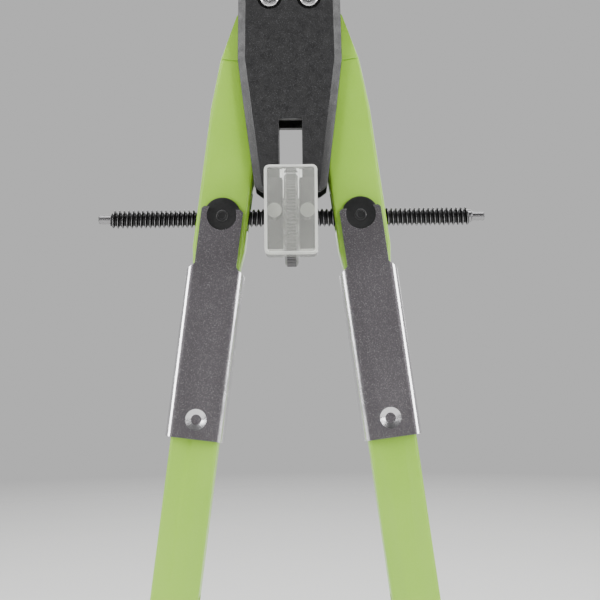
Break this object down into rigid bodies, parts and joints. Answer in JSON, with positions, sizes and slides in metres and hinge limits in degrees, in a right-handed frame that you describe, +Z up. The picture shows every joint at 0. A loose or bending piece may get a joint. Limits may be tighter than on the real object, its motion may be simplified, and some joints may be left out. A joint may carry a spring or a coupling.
{
  "type": "drawing compass",
  "caption": "Quick-set bow compass: two painted legs geared at the head, opened by a knurled wheel on a threaded spindle, with release levers and knee joints.",
  "frame": {"origin": "middle of the handle's grip, on the compass's axis", "axes": "+Z up the handle and away from the points, +X along the spindle to the lead's side, -Y the front"},
  "size_m": [0.0668, 0.0198, 0.1713],
  "materials": {
    "leg_paint": "satin light green paint",
    "head_paint": "fine textured charcoal paint",
    "polished_steel": "polished nickel-plated steel",
    "blasted_steel": "bead-blasted face with polished edges",
    "black_plastic": "satin black",
    "milky_plastic": "translucent milky plastic",
    "pencil_lead": "graphite"
  },
  "bodies": {
    "head": {"head_front_plate": "head_paint", "head_rear_plate": "head_paint", "head_spacer": "head_paint", "head_screw_left": "polished_steel", "head_screw_right": "polished_steel", "pivot_screw_left": "polished_steel", "pivot_screw_right": "polished_steel", "pivot_nut_left": "polished_steel", "pivot_nut_right": "polished_steel", "pivot_washer_front_left": "polished_steel", "pivot_washer_front_right": "polished_steel", "pivot_washer_rear_left": "polished_steel", "pivot_washer_rear_right": "polished_steel", "handle_stud": "polished_steel", "handle_grip": "black_plastic"},
    "left_leg": {"leg_left": "leg_paint", "lever_pin_left": "polished_steel", "knee_screw_left": "polished_steel", "knee_nut_left": "polished_steel"},
    "right_leg": {"leg_right": "leg_paint", "lever_pin_right": "polished_steel", "knee_screw_right": "polished_steel", "knee_nut_right": "polished_steel"},
    "left_lever": {"release_lever_left": "blasted_steel", "lever_spring_left": "polished_steel"},
    "right_lever": {"release_lever_right": "blasted_steel", "lever_spring_right": "polished_steel"},
    "left_bush": {"nut_bush_left": "polished_steel"},
    "right_bush": {"nut_bush_right": "polished_steel"},
    "left_half_nut": {"half_nut_left": "black_plastic"},
    "right_half_nut": {"half_nut_right": "black_plastic"},
    "guide_link": {"guide_dowel_left": "polished_steel"},
    "guide": {"guide_cheek_left": "blasted_steel", "guide_cheek_right": "blasted_steel", "guard_front": "milky_plastic", "guard_rear": "milky_plastic", "guard_peg_left": "milky_plastic", "guard_peg_right": "milky_plastic", "guide_dowel_right": "polished_steel"},
    "spindle": {"spindle": "polished_steel", "adjusting_wheel": "polished_steel"},
    "needle_arm": {"needle_arm": "blasted_steel", "needle": "polished_steel"},
    "lead_arm": {"lead_arm": "blasted_steel", "lead": "pencil_lead"},
    "needle_clamp": {"needle_clamp_screw": "polished_steel"},
    "lead_clamp": {"lead_clamp_screw": "polished_steel"}
  },
  "joints": [
    {"name": "leg_left_swing", "type": "hinge", "parent": "head", "child": "left_leg", "pos_m": [-0.00339, 0, -0.01883], "axis": [0, 1, 0], "range_deg": [-7.2, 26.5]},
    {"name": "leg_right_swing", "type": "hinge", "parent": "head", "child": "right_leg", "pos_m": [0.00339, 0, -0.01883], "axis": [0, -1, 0], "range_deg": [-7.2, 26.5]},
    {"name": "lever_left_press", "type": "hinge", "parent": "left_leg", "child": "left_lever", "pos_m": [-0.01441, -0.0006, -0.07639], "axis": [0.9916, 0, -0.1297], "range_deg": [0, 2.1], "stiffness_Nm_per_rad": 0.4, "springref_deg": -3.44},
    {"name": "lever_right_press", "type": "hinge", "parent": "right_leg", "child": "right_lever", "pos_m": [0.01441, -0.0006, -0.07639], "axis": [0.9916, 0, 0.1297], "range_deg": [0, 2.1], "stiffness_Nm_per_rad": 0.4, "springref_deg": -3.44},
    {"name": "nut_bush_left_turn", "type": "hinge", "parent": "left_leg", "child": "left_bush", "pos_m": [-0.0118, 0, -0.0565], "axis": [0, -1, 0], "range_deg": [-7.2, 26.5]},
    {"name": "half_nut_left_lift", "type": "slide", "parent": "left_bush", "child": "left_half_nut", "axis": [0, -1, 0], "range_m": [0, 0.00066]},
    {"name": "nut_bush_right_turn", "type": "hinge", "parent": "right_leg", "child": "right_bush", "pos_m": [0.0118, 0, -0.0565], "axis": [0, 1, 0], "range_deg": [-7.2, 26.5]},
    {"name": "half_nut_right_lift", "type": "slide", "parent": "right_bush", "child": "right_half_nut", "axis": [0, -1, 0], "range_m": [0, 0.00066]},
    {"name": "guide_link_turn", "type": "hinge", "parent": "left_leg", "child": "guide_link", "pos_m": [-0.0076, 0, -0.03766], "axis": [0, -1, 0], "range_deg": [-14.4, 53]},
    {"name": "guide_rise", "type": "hinge", "parent": "guide_link", "child": "guide", "pos_m": [-0.00339, 0, -0.0565], "axis": [0, 1, 0], "range_deg": [-7.2, 26.5]},
    {"name": "spindle_turn", "type": "hinge", "parent": "guide", "child": "spindle", "pos_m": [0, 0, -0.0565], "axis": [1, 0, 0], "continuous": true},
    {"name": "knee_left_bend", "type": "hinge", "parent": "left_leg", "child": "needle_arm", "pos_m": [-0.02082, 0, -0.12547], "axis": [0, -1, 0], "range_deg": [-7.4, 30]},
    {"name": "knee_right_bend", "type": "hinge", "parent": "right_leg", "child": "lead_arm", "pos_m": [0.02082, 0, -0.12547], "axis": [0, 1, 0], "range_deg": [-7.4, 30]},
    {"name": "needle_clamp_turn", "type": "hinge", "parent": "needle_arm", "child": "needle_clamp", "pos_m": [-0.02082, 0, -0.15047], "axis": [1, 0, 0], "continuous": true},
    {"name": "lead_clamp_turn", "type": "hinge", "parent": "lead_arm", "child": "lead_clamp", "pos_m": [0.02082, 0, -0.15047], "axis": [1, 0, 0], "continuous": true}
  ],
  "couplings": [
    {"joint": "leg_right_swing", "follows": "leg_left_swing", "ratio": 1},
    {"joint": "nut_bush_left_turn", "follows": "leg_left_swing", "ratio": 1},
    {"joint": "nut_bush_right_turn", "follows": "leg_left_swing", "ratio": 1},
    {"joint": "guide_link_turn", "follows": "leg_left_swing", "ratio": 2},
    {"joint": "guide_rise", "follows": "leg_left_swing", "ratio": 1},
    {"joint": "half_nut_left_lift", "follows": "lever_left_press", "m_per_rad": 0.017734},
    {"joint": "half_nut_right_lift", "follows": "lever_right_press", "m_per_rad": 0.017734}
  ]
}
